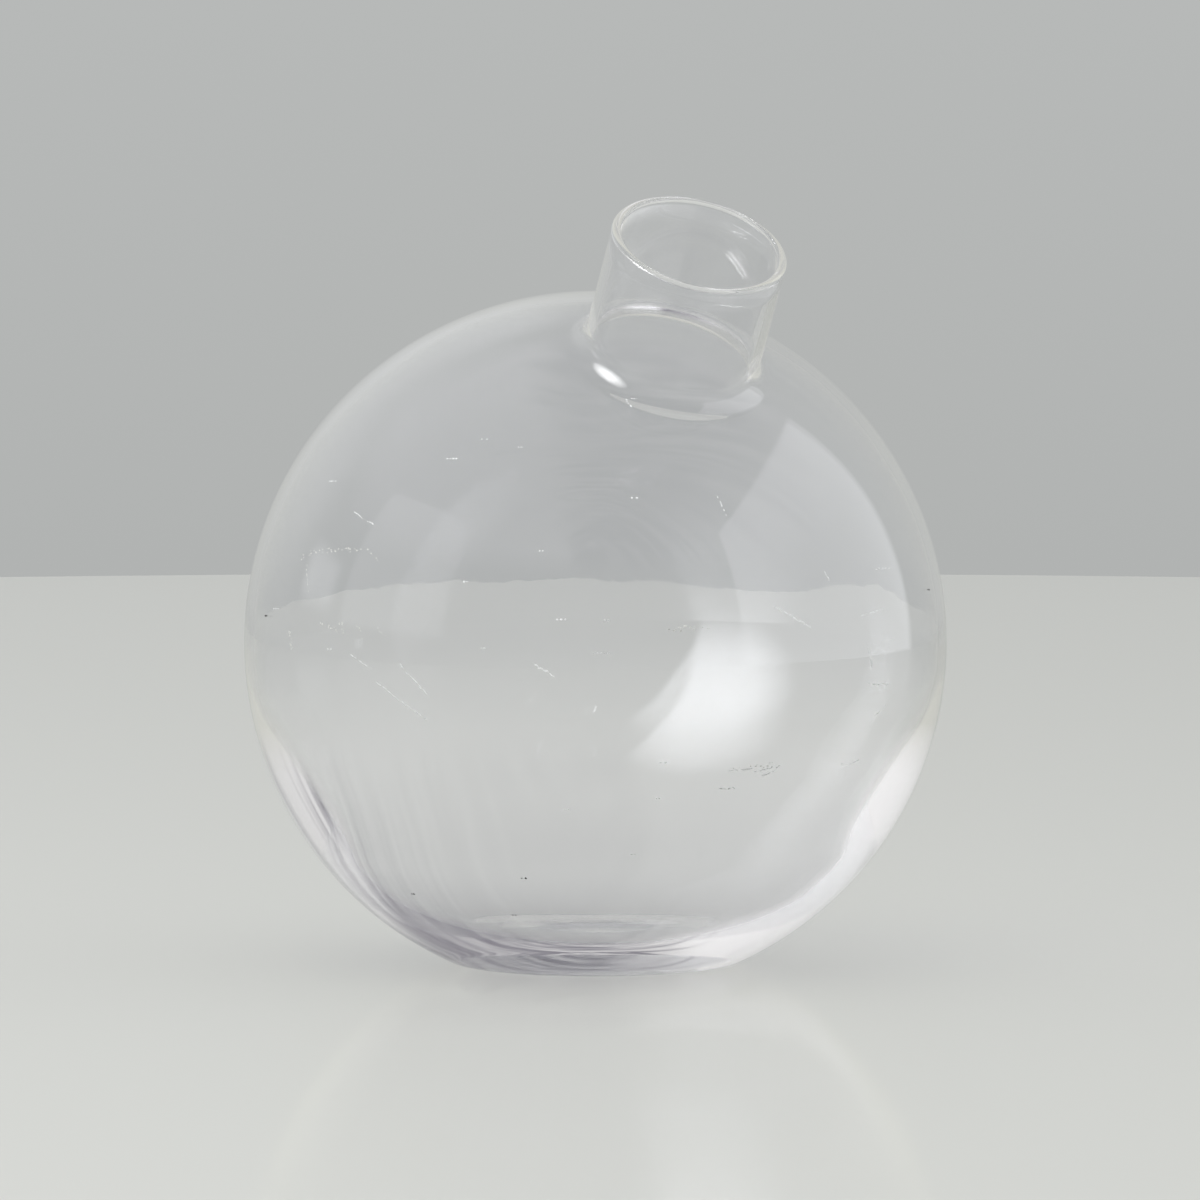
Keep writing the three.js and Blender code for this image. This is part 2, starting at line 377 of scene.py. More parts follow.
def within_heel(ring, radius, sphere):
    """Whether a point is nearer the axis than the circle where the heel rolls into the sphere."""
    to_heel = add(tree, MATH, {0: sphere, 1: radius}, operation="SUBTRACT")[0]
    widen = add(tree, MATH, {0: sphere, 1: to_heel}, operation="DIVIDE")[0]
    edge = add(tree, MATH, {0: ring, 1: widen}, operation="MULTIPLY")[0]
    return add(tree, "FunctionNodeCompare", {0: distance, 1: edge}, operation="LESS_THAN")[0]


print(f"heel radius {HEEL_RADIUS / MM:.0f} mm outside, {INNER_HEEL_RADIUS / MM:.0f} mm inside")

# %% Step 4: the floor of the hollow is pressed flat too, and rises over the push-up
inner_heel = heel_rise(given["Inner Heel Ring"], given["Inner Heel Radius"])
hump_radius = add(tree, MATH, {0: given["Push-up Radius"], 1: given["Push-up Cover"]}, operation="ADD")[0]
inner_top = add(tree, MATH, {0: given["Push-up Height"], 1: given["Push-up Cover"]}, operation="ADD")[0]
rise = add(tree, MATH, {0: inner_top, 1: given["Floor Glass"]}, operation="SUBTRACT")[0]
hump = add(
    tree, MAP_RANGE,
    {"Value": push_distance, "From Min": 0.0, "From Max": hump_radius, "To Min": rise, "To Max": 0.0},
    interpolation_type="SMOOTHSTEP",
)["Result"]
inner_floor = add(tree, MATH, {0: inner_heel, 1: hump}, operation="ADD")[0]
inner_floor = add(tree, MATH, {0: inner_floor, 1: given["Floor Glass"]}, operation="ADD")[0]
inner_z = add(tree, MATH, {0: inner_floor, 1: given["Centre Height"]}, operation="SUBTRACT")[0]
inner_place = add(tree, "ShaderNodeCombineXYZ", {"X": split["X"], "Y": split["Y"], "Z": inner_z})[0]
hollow_full = add(tree, MATH, {0: given["Globe Radius"], 1: given["Heavy Wall"]}, operation="SUBTRACT")[0]
on_floor = within_heel(given["Inner Heel Ring"], given["Inner Heel Radius"], hollow_full)
low_floor = add(tree, MATH, {0: low_hollow, 1: on_floor}, operation="MULTIPLY")[0]
humped = add(
    tree, "GeometryNodeSetPosition", {"Geometry": swollen, "Selection": low_floor, "Position": inner_place},
)[0]
print("floor pressed:", len(tree.nodes), "nodes")

# %% Step 5: the foot is pressed flat on the outside, with a rounded heel and a push-up
heel_height = heel_rise(given["Heel Ring"], given["Heel Radius"])
across = add(tree, MATH, {0: push_distance, 1: given["Push-up Radius"]}, operation="DIVIDE")[0]
across_squared = add(tree, MATH, {0: across, 1: across}, operation="MULTIPLY")[0]
dome = add(tree, MATH, {0: 1.0, 1: across_squared}, operation="SUBTRACT", use_clamp=True)[0]
push_up = add(tree, MATH, {0: dome, 1: given["Push-up Height"]}, operation="MULTIPLY")[0]
foot_height = add(tree, MATH, {0: heel_height, 1: push_up}, operation="ADD")[0]
foot_z = add(tree, MATH, {0: foot_height, 1: given["Centre Height"]}, operation="SUBTRACT")[0]
foot_place = add(tree, "ShaderNodeCombineXYZ", {"X": split["X"], "Y": split["Y"], "Z": foot_z})[0]
near_axis = within_heel(given["Heel Ring"], given["Heel Radius"], given["Globe Radius"])
is_skin = add(tree, MATH, {0: 1.0, 1: is_hollow}, operation="SUBTRACT")[0]
low_skin = add(tree, MATH, {0: is_skin, 1: is_low}, operation="MULTIPLY")[0]
under_foot = add(tree, MATH, {0: low_skin, 1: near_axis}, operation="MULTIPLY")[0]
pressed = add(
    tree, "GeometryNodeSetPosition", {"Geometry": humped, "Selection": under_foot, "Position": foot_place},
)[0]
print("foot pressed:", len(tree.nodes), "nodes")

# %% Step 6: slow waves of a hand-blown surface, none on the standing ring
INNER_WAVES_APART = 7.3  # metres to another part of the noise, so that the two skins wave differently
WELD = 0.001 * MM
wave_scale = add(tree, MATH, {0: 1.0, 1: given["Wave Length"]}, operation="DIVIDE")[0]
wave_shift = add(tree, MATH, {0: is_hollow, 1: INNER_WAVES_APART}, operation="MULTIPLY")[0]
wave_centre = add(tree, VECTOR_MATH, {0: place, 1: wave_shift}, operation="ADD")[0]
noise = add(tree, "ShaderNodeTexNoise", {"Vector": wave_centre, "Scale": wave_scale, "Detail": 1.0})[0]
wave = add(tree, MATH, {0: noise, 1: 0.5}, operation="SUBTRACT")[0]
wave_size = add(tree, MATH, {0: wave, 1: given["Wave Height"]}, operation="MULTIPLY")[0]
normal = add(tree, "GeometryNodeInputNormal")[0]
wave_offset = add(tree, VECTOR_MATH, {0: normal, "Scale": wave_size}, operation="SCALE")[0]
not_foot = add(tree, MATH, {0: 1.0, 1: under_foot}, operation="SUBTRACT")[0]
merged = add(tree, "GeometryNodeMergeByDistance", {"Geometry": pressed, "Distance": WELD})[0]
waved = add(
    tree, "GeometryNodeSetPosition", {"Geometry": merged, "Selection": not_foot, "Offset": wave_offset},
)[0]
print("waved:", len(tree.nodes), "nodes")

# %% Finish the tree: on the table, smooth, realized, in glass
lift = add(tree, "ShaderNodeCombineXYZ", {"Z": given["Centre Height"]})[0]
standing = add(tree, "GeometryNodeSetPosition", {"Geometry": waved, "Offset": lift})[0]
smooth = add(tree, "GeometryNodeSetShadeSmooth", {"Geometry": standing})[0]
realized = add(tree, "GeometryNodeRealizeInstances", {"Geometry": smooth})[0]
finished = add(tree, "GeometryNodeSetMaterial", {"Geometry": realized, "Material": given["Glass"]})[0]
add(tree, "NodeGroupOutput", {"Geometry": finished})
print(len(tree.nodes), "nodes in the tree")

# %% [markdown]
# ## The glass
#
# Soda-lime glass, blown by hand and fire-polished: index 1.52, as smooth as a liquid, and colourless
# until it is thick. The batch holds a trace of decolouriser, so a long way through the floor turns faintly
# violet. That tint is an absorption inside the glass, not a paint on it. Handling leaves a breath of
# roughness in patches, and the skin has fine ripples about 6 mm long from the jack and the block.

# %% Blown soda-lime glass
RIPPLE_LENGTH = 6 * MM
HANDLED_PATCH = 18 * MM
TRAPPED = 2.5  # a ray with more mirrorings than this goes straight on, before the renderer drops it
glass = bpy.data.materials.new("soda_lime_glass_blown")
glass.use_nodes = True
shade = glass.node_tree
shade.nodes.clear()
at = add(shade, "ShaderNodeTexCoord")["Object"]
ripple = add(
    shade, "ShaderNodeTexNoise", {"Vector": at, "Scale": 1 / RIPPLE_LENGTH, "Detail": 2.0, "Roughness": 0.4},
)[0]
ripple_bump = add(shade, "ShaderNodeBump", {"Height": ripple, "Strength": 0.25, "Distance": 0.02 * MM})[0]
handling = add(shade, "ShaderNodeTexNoise", {"Vector": at, "Scale": 1 / HANDLED_PATCH, "Detail": 4.0})[0]
haze = add(
    shade, MAP_RANGE, {"Value": handling, "From Min": 0.45, "From Max": 0.75, "To Min": 0.0, "To Max": 0.035},
)["Result"]
light = add(shade, "ShaderNodeLightPath")
trapped = add(shade, MATH, {0: light["Glossy Depth"], 1: TRAPPED}, operation="GREATER_THAN")[0]
clear = add(shade, "ShaderNodeBsdfTransparent", {"Color": linear("fdfdfe")})[0]
skin = add(
    shade, "ShaderNodeBsdfPrincipled",
    {
        "Base Color": linear("fdfdfe"), "Roughness": haze, "IOR": 1.52,
        "Transmission Weight": 1.0, "Normal": ripple_bump,
    },
)[0]
tint = add(shade, "ShaderNodeVolumeAbsorption", {"Color": linear("d9d4e6"), "Density": 3.0})[0]
freed = add(shade, "ShaderNodeMixShader", {0: trapped, 1: skin, 2: clear})[0]
lit_through = add(shade, "ShaderNodeMixShader", {0: light["Is Shadow Ray"], 1: freed, 2: clear})[0]
add(shade, "ShaderNodeOutputMaterial", {"Surface": lit_through, "Volume": tint})
print(glass.name, "has", len(shade.nodes), "nodes")

# %% Run the tree and keep a plain mesh
vessel_mesh = run_tree(vessel, tree, sockets, {
    **SIZES, "Pool Axis": POOL_AXIS, "Push-up Centre": (0, -PUSH_UP_FORWARD, 0),
    "Sides": OUTLINE_SIDES, "Glass": glass,
})
shell = bmesh.new()
shell.from_mesh(vessel_mesh)
open_edges = sum(1 for edge in shell.edges if not edge.is_manifold)
volume = shell.calc_volume(signed=True)
if volume < 0:
    bmesh.ops.reverse_faces(shell, faces=shell.faces)
shell.to_mesh(vessel_mesh)
shell.free()
vessel_mesh.attributes.remove(vessel_mesh.attributes["inside"])
print(len(vessel_mesh.polygons), "faces,", open_edges, "open edges")
print(f"{abs(volume) / (10 * MM) ** 3:.1f} cm3 of glass")

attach(vessel, "root")
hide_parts("blown_glass_vessel")

# %% [markdown]
# ## Marks of use
#
# A clear vase shows every touch: hair scratches, a dried water mark, open seeds and a few grains of dust.
# Each is a fraction of a millimetre wide, so a bump map would lose it. They are real chips that lie on the
# glass. A trail of chips is drawn between two places, and a Geometry Nodes tree breaks it into uneven
# chips, drops some of them, and turns each along the trail and flat to the surface.

# %% A place on the globe for a place in the photograph
def on_globe(x, y):
    """The point of the globe's skin at a pixel of the photograph, as if seen from very far."""
    across = (x - GLOBE_PIXEL[0]) / GLOBE_PIXEL_RADIUS
    up = (GLOBE_PIXEL[1] - y) / GLOBE_PIXEL_RADIUS
    towards = math.sqrt(1 - across ** 2 - up ** 2)
    return globe_centre + GLOBE_RADIUS * in_view(across, up, towards)


print("the middle of the picture of the globe is at", [round(v, 4) for v in on_globe(*GLOBE_PIXEL)])

# %% The tree that lays chips, and its inputs
CHIP_THICKNESS = 0.05 * MM
SMALLEST_CHIP = 0.35  # as a share of the largest
chip_tree = bpy.data.node_groups.new("lay_chips", "GeometryNodeTree")
chip_sockets = named_inputs(chip_tree, {
    "Spacing": "Float", "Kept Share": "Float", "Chip Length": "Float", "Chip Width": "Float",
    "Wander": "Float", "Skin Radius": "Float", "Centre": "Vector", "Seed": "Int", "Material": "Material",
})
chip_given = add(chip_tree, "NodeGroupInput")
print(len(chip_sockets), "named inputs for a trail of chips")

# %% Places along the trail, on the skin
trail = add(chip_tree, "GeometryNodeMeshToCurve", {"Mesh": chip_given["Geometry"]})["Curve"]
stepped = add(
    chip_tree, "GeometryNodeResampleCurve", {"Curve": trail, "Length": chip_given["Spacing"]}, mode="LENGTH",
)["Curve"]
tangent = add(chip_tree, "GeometryNodeInputTangent")["Tangent"]
with_tangent = add(
    chip_tree, "GeometryNodeStoreNamedAttribute",
    {"Geometry": stepped, "Name": "along", "Value": tangent}, data_type="FLOAT_VECTOR", domain="POINT",
)[0]
back = add(chip_tree, MATH, {0: chip_given["Wander"], 1: -1.0}, operation="MULTIPLY")[0]
stray = add(
    chip_tree, "FunctionNodeRandomValue", {0: back, 1: chip_given["Wander"], "Seed": chip_given["Seed"]},
    data_type="FLOAT_VECTOR",
)[0]
chip_place = add(chip_tree, "GeometryNodeInputPosition")[0]
strayed = add(chip_tree, VECTOR_MATH, {0: chip_place, 1: stray})[0]
from_centre = add(chip_tree, VECTOR_MATH, {0: strayed, 1: chip_given["Centre"]}, operation="SUBTRACT")[0]
chip_normal = add(chip_tree, VECTOR_MATH, {0: from_centre}, operation="NORMALIZE")[0]
to_skin = add(
    chip_tree, VECTOR_MATH, {0: chip_normal, "Scale": chip_given["Skin Radius"]}, operation="SCALE",
)[0]
skin_place = add(chip_tree, VECTOR_MATH, {0: to_skin, 1: chip_given["Centre"]})[0]
laid = add(chip_tree, "GeometryNodeSetPosition", {"Geometry": with_tangent, "Position": skin_place})[0]
print("places for chips:", len(chip_tree.nodes), "nodes")

# %% Which chips stay, and how they lie
kept = add(
    chip_tree, "FunctionNodeRandomValue",
    {"Probability": chip_given["Kept Share"], "Seed": chip_given["Seed"]}, data_type="BOOLEAN",
)[3]
along = add(chip_tree, "GeometryNodeInputNamedAttribute", {"Name": "along"}, data_type="FLOAT_VECTOR")[0]
laid_place = add(chip_tree, "GeometryNodeInputPosition")[0]
laid_from = add(chip_tree, VECTOR_MATH, {0: laid_place, 1: chip_given["Centre"]}, operation="SUBTRACT")[0]
flat_turn = add(chip_tree, "FunctionNodeAlignRotationToVector", {"Vector": laid_from}, axis="Z")[0]
chip_turn = add(
    chip_tree, "FunctionNodeAlignRotationToVector", {"Rotation": flat_turn, "Vector": along},
    axis="X", pivot_axis="Z",
)[0]
print("chips turned:", len(chip_tree.nodes), "nodes")

# %% Chips of uneven size, made real
largest = add(
    chip_tree, "ShaderNodeCombineXYZ",
    {"X": chip_given["Chip Length"], "Y": chip_given["Chip Width"], "Z": CHIP_THICKNESS},
)[0]
smallest = add(chip_tree, VECTOR_MATH, {0: largest, "Scale": SMALLEST_CHIP}, operation="SCALE")[0]
chip_size = add(
    chip_tree, "FunctionNodeRandomValue", {0: smallest, 1: largest, "Seed": chip_given["Seed"]},
    data_type="FLOAT_VECTOR",
)[0]
chip = add(chip_tree, "GeometryNodeMeshIcoSphere", {"Radius": 0.5, "Subdivisions": 1})["Mesh"]
chips = add(
    chip_tree, "GeometryNodeInstanceOnPoints",
    {"Points": laid, "Selection": kept, "Instance": chip, "Rotation": chip_turn, "Scale": chip_size},
)[0]
real_chips = add(chip_tree, "GeometryNodeRealizeInstances", {"Geometry": chips})[0]
dressed = add(
    chip_tree, "GeometryNodeSetMaterial", {"Geometry": real_chips, "Material": chip_given["Material"]},
)[0]
add(chip_tree, "NodeGroupOutput", {"Geometry": dressed})
print("whole tree for chips:", len(chip_tree.nodes), "nodes")


# %% Lay chips along trails
def lay_chips(name, trails, material, values):
    """One piece of chips on the globe's skin. A trail is a pair of places in the photograph."""
    mesh = bpy.data.meshes.new(name)
    ends = [on_globe(*place) for pair in trails for place in pair]
    mesh.from_pydata(ends, [(i, i + 1) for i in range(0, len(ends), 2)], [])
    piece = bpy.data.objects.new(name, mesh)
    bpy.context.collection.objects.link(piece)
    skin = {"Skin Radius": GLOBE_RADIUS, "Centre": tuple(globe_centre)}
    final = run_tree(piece, chip_tree, chip_sockets, {"Wander": 0.0, **skin, "Material": material, **values})
    print(f"{name}: {len(trails)} marks, {len(final.polygons)} faces")
    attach(piece, "root")


def dot(x, y, pixels=3):
    """A short level mark."""
    return ((x, y), (x + pixels, y))


# %% Ground glass, lime and dust
SPECK = 0.1 * MM


def speckled(name, colour, other, roughness):
    """A dull material in two shades that change within a tenth of a millimetre."""
    material = bpy.data.materials.new(name)
    material.use_nodes = True
    nodes = material.node_tree
    shader = nodes.nodes["Principled BSDF"]
    spot = add(nodes, "ShaderNodeTexCoord")["Object"]
    grain = add(nodes, "ShaderNodeTexNoise", {"Vector": spot, "Scale": 1 / SPECK, "Detail": 2.0})[0]
    shade_mix = add(
        nodes, MIX, {0: grain, FIRST_COLOUR: linear(colour), SECOND_COLOUR: linear(other)}, data_type="RGBA",
    )[MIXED_COLOUR]
    nodes.links.new(shade_mix, shader.inputs["Base Color"])
    shader.inputs["Roughness"].default_value = roughness
    return material


ground_glass = speckled("ground_glass_scratch", "ffffff", "eef0f0", 0.35)
dry_lime = speckled("dried_water_lime", "f2f2ee", "dcdcd6", 0.7)
soot = speckled("fine_black_dust", "3c3a38", "262422", 0.8)
print("dull materials:", ground_glass.name, dry_lime.name, soot.name)

# %% Scratches, the dried water mark, seeds and dust
SCRATCHES = [
    ((354, 654), (377, 669)), ((382, 682), (430, 718)), ((403, 663), (430, 692)), ((537, 665), (555, 675)),
    ((770, 607), (807, 628)), ((858, 616), (880, 609)), ((863, 644), (867, 665)), ((865, 683), (884, 684)),
    ((870, 715), (883, 704)), ((840, 764), (858, 757)), ((727, 768), (748, 766)), ((752, 769), (775, 764)),
    ((759, 773), (773, 768)), ((718, 785), (732, 785)), ((715, 500), (724, 518)), ((358, 514), (379, 528)),
    ((626, 404), (631, 412)), ((626, 404), (636, 403)), ((872, 570), (886, 569)), ((821, 574), (826, 583)),
]
WATER_MARK = [
    ((312, 553), (365, 551)), ((310, 563), (312, 592)), ((326, 623), (344, 632)), ((363, 625), (366, 638)),
    ((380, 627), (389, 636)), ((294, 630), (296, 651)), ((305, 560), (318, 552)), ((372, 551), (384, 566)),
    ((667, 630), (710, 627)), ((730, 766), (770, 762)), ((345, 622), (349, 634)),
]
SEEDS = [
    dot(520, 451), dot(484, 648), dot(467, 583), dot(631, 501, 5), dot(558, 620, 8), dot(604, 621, 4),
    dot(594, 653, 14), dot(659, 760, 5), dot(655, 795), dot(631, 850), dot(450, 462, 9), dot(484, 443, 5),
    dot(333, 483, 6), dot(277, 609, 5), dot(541, 553), dot(332, 649), dot(716, 786, 10), dot(838, 762, 3),
    dot(885, 640, 4), dot(565, 806, 4),
]
DUST = [dot(523, 874, 4), dot(514, 911, 3), dot(414, 891, 2), dot(268, 616, 2), dot(925, 590, 2)]
lay_chips("hair_scratches", SCRATCHES, ground_glass, {
    "Spacing": 0.35 * MM, "Kept Share": 0.75, "Chip Length": 0.8 * MM, "Chip Width": 0.3 * MM,
    "Wander": 0.12 * MM, "Seed": 3,
})
lay_chips("water_mark", WATER_MARK, dry_lime, {
    "Spacing": 0.3 * MM, "Kept Share": 0.6, "Chip Length": 0.45 * MM, "Chip Width": 0.3 * MM,
    "Wander": 0.4 * MM, "Seed": 8,
})
lay_chips("open_seeds", SEEDS, ground_glass, {
    "Spacing": 0.5 * MM, "Kept Share": 1.0, "Chip Length": 0.6 * MM, "Chip Width": 0.4 * MM, "Seed": 5,
})
lay_chips("dust_specks", DUST, soot, {
    "Spacing": 0.4 * MM, "Kept Share": 1.0, "Chip Length": 0.6 * MM, "Chip Width": 0.45 * MM, "Seed": 2,
})


# %% [markdown]
# ## Light that has wandered through the wall
#
# Near the foot and in the lip, light is mirrored inside the thick glass several times before it leaves. On
# the real vase it gathers pale and violet-grey streaks there, from all that stands round it. A plain stage
# has nothing to gather, so the stage carries the streaks itself as painted light and painted shade: rings of
# noise round the view of the photograph, shown only to rays that were mirrored on their way through the
# glass, or three times. Nothing is painted on the vase. The rings are set for this one view, so from other
# sides they lie elsewhere.


# %% Where the streaks lie
def across_view(degrees_right):
    """A direction across the view, in degrees to the right of straight down."""
    turn = math.radians(degrees_right)
    return in_view(math.sin(turn), -math.cos(turn), 0)


LOWER_RIGHT = across_view(59)  # the light gathers to white here
LOWER_LEFT = across_view(-24)  # and is dimmest here
STREAKS_ACROSS = 11.0  # noise cells for each radian away from the view's axis
STREAKS_ROUND = 1.0  # noise cells for each radian round it
GATHERED_WHITE = "fbfaf8"
print("white side", [round(v, 2) for v in LOWER_RIGHT], "and dim side", [round(v, 2) for v in LOWER_LEFT])


# %% Streaks for a direction
def wandered(tree, way, across, dim_side, pale, dim):
    """Pale and violet-grey streaks in rings round the view's axis, for a direction that a ray left in."""
    along = add(tree, VECTOR_MATH, {0: way, 1: to_camera}, operation="DOT_PRODUCT")["Value"]
    turned_by = add(tree, MATH, {0: along}, operation="ARCCOSINE")[0]
    on_axis = add(tree, VECTOR_MATH, {0: to_camera, "Scale": along}, operation="SCALE")[0]
    off_axis = add(tree, VECTOR_MATH, {0: way, 1: on_axis}, operation="SUBTRACT")[0]
    round_axis = add(tree, VECTOR_MATH, {0: off_axis}, operation="NORMALIZE")[0]
    ring = add(tree, MATH, {0: turned_by, 1: across}, operation="MULTIPLY")[0]
    outwards = add(tree, VECTOR_MATH, {0: to_camera, "Scale": ring}, operation="SCALE")[0]
    lengthwise = add(tree, VECTOR_MATH, {0: round_axis, "Scale": STREAKS_ROUND}, operation="SCALE")[0]
    place = add(tree, VECTOR_MATH, {0: outwards, 1: lengthwise})[0]
    noise = add(tree, "ShaderNodeTexNoise", {"Vector": place, "Scale": 1.0, "Detail": 5.0, "Roughness": 0.65})
    towards_dim = add(tree, VECTOR_MATH, {0: round_axis, 1: dim_side}, operation="DOT_PRODUCT")
    leaning = add(
        tree, MAP_RANGE,
        {
            "Value": towards_dim["Value"], "From Min": 0.3, "From Max": 0.93,
            "To Min": -0.2, "To Max": 0.08,
        },
        interpolation_type="SMOOTHSTEP",
    )["Result"]
    streaky = add(tree, MATH, {0: noise[0], 1: leaning})[0]
    towards_white = add(tree, VECTOR_MATH, {0: round_axis, 1: LOWER_RIGHT}, operation="DOT_PRODUCT")
    whiter = add(
        tree, MAP_RANGE, {"Value": towards_white["Value"], "From Min": 0.84, "From Max": 0.97},
        interpolation_type="SMOOTHSTEP",
    )["Result"]
    brighter = add(
        tree, MIX, {0: whiter, FIRST_COLOUR: linear(pale), SECOND_COLOUR: linear(GATHERED_WHITE)},
        data_type="RGBA",
    )[MIXED_COLOUR]
    share = add(tree, MAP_RANGE, {"Value": streaky, "From Min": 0.4, "From Max": 0.64})
    return add(
        tree, MIX, {0: share["Result"], FIRST_COLOUR: brighter, SECOND_COLOUR: linear(dim)}, data_type="RGBA",
    )[MIXED_COLOUR]


# %% [markdown]
# ## The room
#
# Clear glass has no look of its own, so the stage matters more than for any other material. A pale satin
# table ends some way behind the vase, and a plain grey wall stands behind it. The wall is the world's
# background, seen by the camera, by mirror rays and through the glass, so it is there from every side.

# %% [markdown]
# ## The table
#
# The table is honed stone with a thin polish, so it is dull with a soft mirror image on top. A plain colour
# would be enough for the eye. Light Path adds the streaks as painted light and painted shade: a ray that was
# mirrored on its way through the glass and lands near the foot reads them as the table's colour. Further out,
# a mirrored ray reads a grey of its own, painted darker than the table after one mirroring. A ray that was
# mirrored three times or more reads either as painted light that the table gives out itself.

# %% Table top
TABLE_RADIUS = 865 * MM  # its far edge sets the height of the line where floor and wall meet
TABLE_DROP = 0.1 * MM  # a hair below the foot, so that no two faces share a plane
TABLE_SIDES = 256
table_shape = bmesh.new()
bmesh.ops.create_circle(table_shape, cap_ends=True, segments=TABLE_SIDES, radius=TABLE_RADIUS)
table_mesh = bpy.data.meshes.new("table")
table_shape.to_mesh(table_mesh)
table_shape.free()
table = bpy.data.objects.new("table", table_mesh)
bpy.context.collection.objects.link(table)
table.location.z = -TABLE_DROP
print(f"table {2 * TABLE_RADIUS:.2f} m across")

# %% Honed stone
STONE = "d6d6d0"
stone = bpy.data.materials.new("honed_pale_stone")
stone.use_nodes = True
stone_tree = stone.node_tree
stone_shader = stone_tree.nodes["Principled BSDF"]
POLISH = {"Roughness": 0.35, "Specular IOR Level": 0.3, "Coat Weight": 0.35, "Coat Roughness": 0.05}
for name, value in POLISH.items():
    stone_shader.inputs[name].default_value = value
table_mesh.materials.append(stone)
print("the table is", stone.name)

# %% How a ray came to the table
MIRRORED_ONCE, MIRRORED_TWICE, WENT_IN = 0.5, 1.5, 0.5  # a count above these values says so
STREAKS_TO, STREAKS_END = 80 * MM, 120 * MM  # from the middle of the foot
STREAKS_FROM = (0, 0, 20 * MM)  # inside the vase, where the streaks' directions start
stone_path = add(stone_tree, "ShaderNodeLightPath")
on_table = add(stone_tree, "ShaderNodeTexCoord")["Object"]
from_vase = add(stone_tree, VECTOR_MATH, {0: on_table, 1: STREAKS_FROM}, operation="SUBTRACT")[0]
way = add(stone_tree, VECTOR_MATH, {0: from_vase}, operation="NORMALIZE")[0]
off_foot = add(stone_tree, VECTOR_MATH, {0: on_table}, operation="LENGTH")["Value"]
near_foot = add(
    stone_tree, MAP_RANGE,
    {"Value": off_foot, "From Min": STREAKS_TO, "From Max": STREAKS_END, "To Min": 1.0, "To Max": 0.0},
)["Result"]
# painted light and painted shade: pale and violet-grey streaks that mirrored rays read as the table's colour
streaks = wandered(stone_tree, way, STREAKS_ACROSS, LOWER_LEFT, "e2e1df", "86838b")
counts = []
for turns, limit in (
    ("Glossy Depth", MIRRORED_ONCE), ("Glossy Depth", MIRRORED_TWICE),
    ("Transmission Depth", WENT_IN), ("Glossy Depth", TRAPPED),
):
    counts.append(add(stone_tree, MATH, {0: stone_path[turns], 1: limit}, operation="GREATER_THAN")[0])
bounced_once, bounced_twice, was_inside, long_way = counts
print("streaks on the table end", STREAKS_END / MM, "mm from the middle of the foot")

# %% What such a ray reads
from_wall = add(stone_tree, MATH, {0: near_foot, 1: was_inside}, operation="MULTIPLY")[0]
# painted shade: once mirrored, the table further out reads darker than its own colour
far_painted_grey = add(
    stone_tree, MIX, {0: bounced_twice, FIRST_COLOUR: linear("b9bab5"), SECOND_COLOUR: linear("d6d6cc")},
    data_type="RGBA",
)[MIXED_COLOUR]
mirrored = add(
    stone_tree, MIX, {0: from_wall, FIRST_COLOUR: far_painted_grey, SECOND_COLOUR: streaks}, data_type="RGBA",
)[MIXED_COLOUR]
stone_colour = add(
    stone_tree, MIX, {0: bounced_once, FIRST_COLOUR: linear(STONE), SECOND_COLOUR: mirrored},
    data_type="RGBA",
)[MIXED_COLOUR]
stone_tree.links.new(stone_colour, stone_shader.inputs["Base Color"])
# painted light: the table glows in these colours for rays mirrored three times or more
spread_light = add(stone_tree, "ShaderNodeEmission", {"Color": mirrored})[0]
stone_look = add(
    stone_tree, "ShaderNodeMixShader", {0: long_way, 1: stone_shader.outputs[0], 2: spread_light},
)[0]
stone_tree.links.new(stone_look, stone_tree.nodes["Material Output"].inputs["Surface"])
print(stone.name, "has", len(stone_tree.nodes), "nodes")

# %% [markdown]
# ## The wall and the lights in the room
#
# The wall is two greys, a little darker near the table. The room's lights are shapes on that wall: a front
# window, a big panel at the side, a soft one behind and a small card. The glass mirrors them as pale areas,
# which is what shows that it is round. Two things are arranged and not real. Rays that crossed the hollow
# see none of these lights, because their images in the far wall drew a false edge low on the left. One more
# window is there only for rays that crossed it and were mirrored, and makes the bright patch.

# %% World and its directions
world = bpy.data.worlds.new("grey_wall")
bpy.context.scene.world = world
world.use_nodes = True
sky = world.node_tree
sky.nodes.clear()
path = add(sky, "ShaderNodeLightPath")
look = add(sky, "ShaderNodeTexCoord")["Generated"]
ahead = Vector((to_camera.x, to_camera.y, 0)).normalized()


def direction(turn, elevation):
    """A direction from the vase: degrees to the camera's right, and degrees above the table."""
    turn, elevation = math.radians(turn), math.radians(elevation)
    flat = ahead * math.cos(turn) + camera_right * math.sin(turn)
    return flat * math.cos(elevation) + Vector((0, 0, math.sin(elevation)))


print("behind the vase is", [round(v, 2) for v in direction(180, 0)])


# %% Soft lights as shapes in the room
LEAST_FACING = 0.02  # keeps the division safe where a direction hardly points at the wall


def glow(turn, elevation, core, edge):
    """A round soft light in the room: 1 within the core's degrees, 0 past the edge's."""
    towards = add(sky, VECTOR_MATH, {0: look, 1: direction(turn, elevation)}, operation="DOT_PRODUCT")
    return add(
        sky, MAP_RANGE,
        {
            "Value": towards["Value"], "From Min": math.cos(math.radians(edge)),
            "From Max": math.cos(math.radians(core)),
        },
        interpolation_type="SMOOTHSTEP",
    )["Result"]


